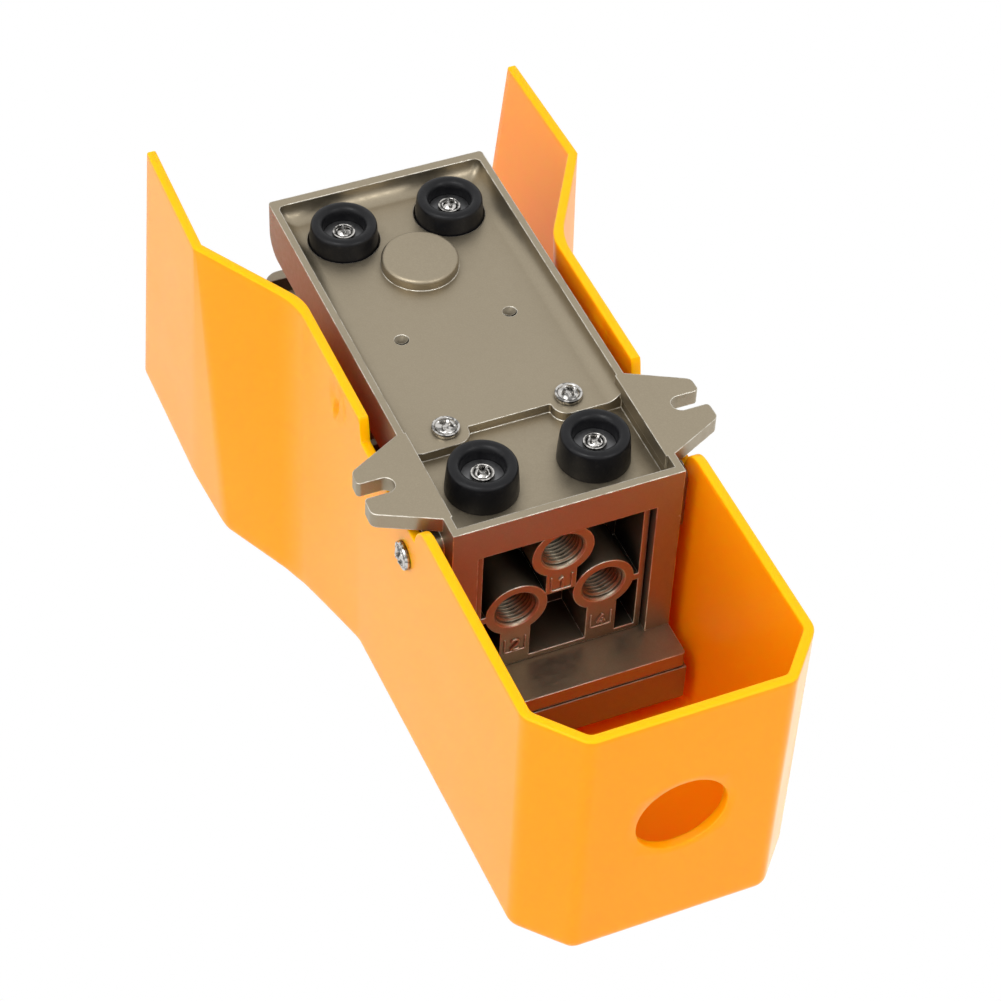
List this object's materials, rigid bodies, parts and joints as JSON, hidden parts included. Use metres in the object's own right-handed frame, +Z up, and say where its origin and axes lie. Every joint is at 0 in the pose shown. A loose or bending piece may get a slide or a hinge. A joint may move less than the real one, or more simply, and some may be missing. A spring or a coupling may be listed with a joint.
{
  "type": "pneumatic foot valve",
  "caption": "Foot-operated pneumatic spool valve: hinged pedal on a die-cast base with threaded ports and slotted ears, under a plastic foot guard.",
  "frame": {"origin": "middle of the overall footprint, at the level of the rubber feet's undersides", "axes": "+Z up with the part standing on its feet, +Y towards the guard's closed end with the hose hole, the foot enters from -Y, +X to the right seen from the entrance"},
  "size_m": [0.129, 0.291, 0.1192],
  "materials": {
    "cast_base": "die-cast aluminium with a metallic champagne coat",
    "cast_pedal": "die-cast aluminium with a metallic champagne coat",
    "guard_plastic": "satin amber yellow",
    "rubber_black": "satin black",
    "screw_steel": "nickel plated",
    "pin_steel": "ground",
    "spring_steel": "zinc plated",
    "spool_alloy": "bright turned",
    "seal_rubber": "satin black",
    "bush_brass": "turned",
    "cap_plastic": "black acetal"
  },
  "bodies": {
    "base": {"base_housing": "cast_base", "hinge_bracket": "cast_base", "bracket_screws": "screw_steel", "valve_block": "cast_base", "valve_block_screws": "screw_steel", "bore_plug": "spool_alloy", "plug_seal": "seal_rubber", "guide_bush": "bush_brass", "rod_seal": "seal_rubber", "pedal_pin": "pin_steel", "pin_clips": "spring_steel", "pedal_spring": "spring_steel", "spool_spring": "spring_steel", "stop_bumper": "rubber_black", "guard": "guard_plastic", "guard_screws": "screw_steel", "foot_screws": "screw_steel", "foot_washers": "pin_steel", "rubber_foot_rear_left": "rubber_black", "rubber_foot_rear_right": "rubber_black", "rubber_foot_front_left": "rubber_black", "rubber_foot_front_right": "rubber_black"},
    "pedal": {"pedal": "cast_pedal", "pedal_bush_left": "bush_brass", "pedal_bush_right": "bush_brass"},
    "spool": {"spool": "spool_alloy", "spool_seals": "seal_rubber", "push_cap": "cap_plastic"}
  },
  "joints": [
    {"name": "pedal_hinge", "type": "hinge", "parent": "base", "child": "pedal", "pos_m": [0, 0.0585, 0.0787], "axis": [1, 0, 0], "range_deg": [0, 8], "stiffness_Nm_per_rad": 12, "springref_deg": -6.88, "deforming": ["pedal_spring"]},
    {"name": "spool_slide", "type": "slide", "parent": "base", "child": "spool", "axis": [0, 0, -1], "range_m": [0, 0.0043], "deforming": ["spool_spring"]}
  ],
  "couplings": [
    {"joint": "spool_slide", "follows": "pedal_hinge", "m_per_rad": 0.0305}
  ]
}
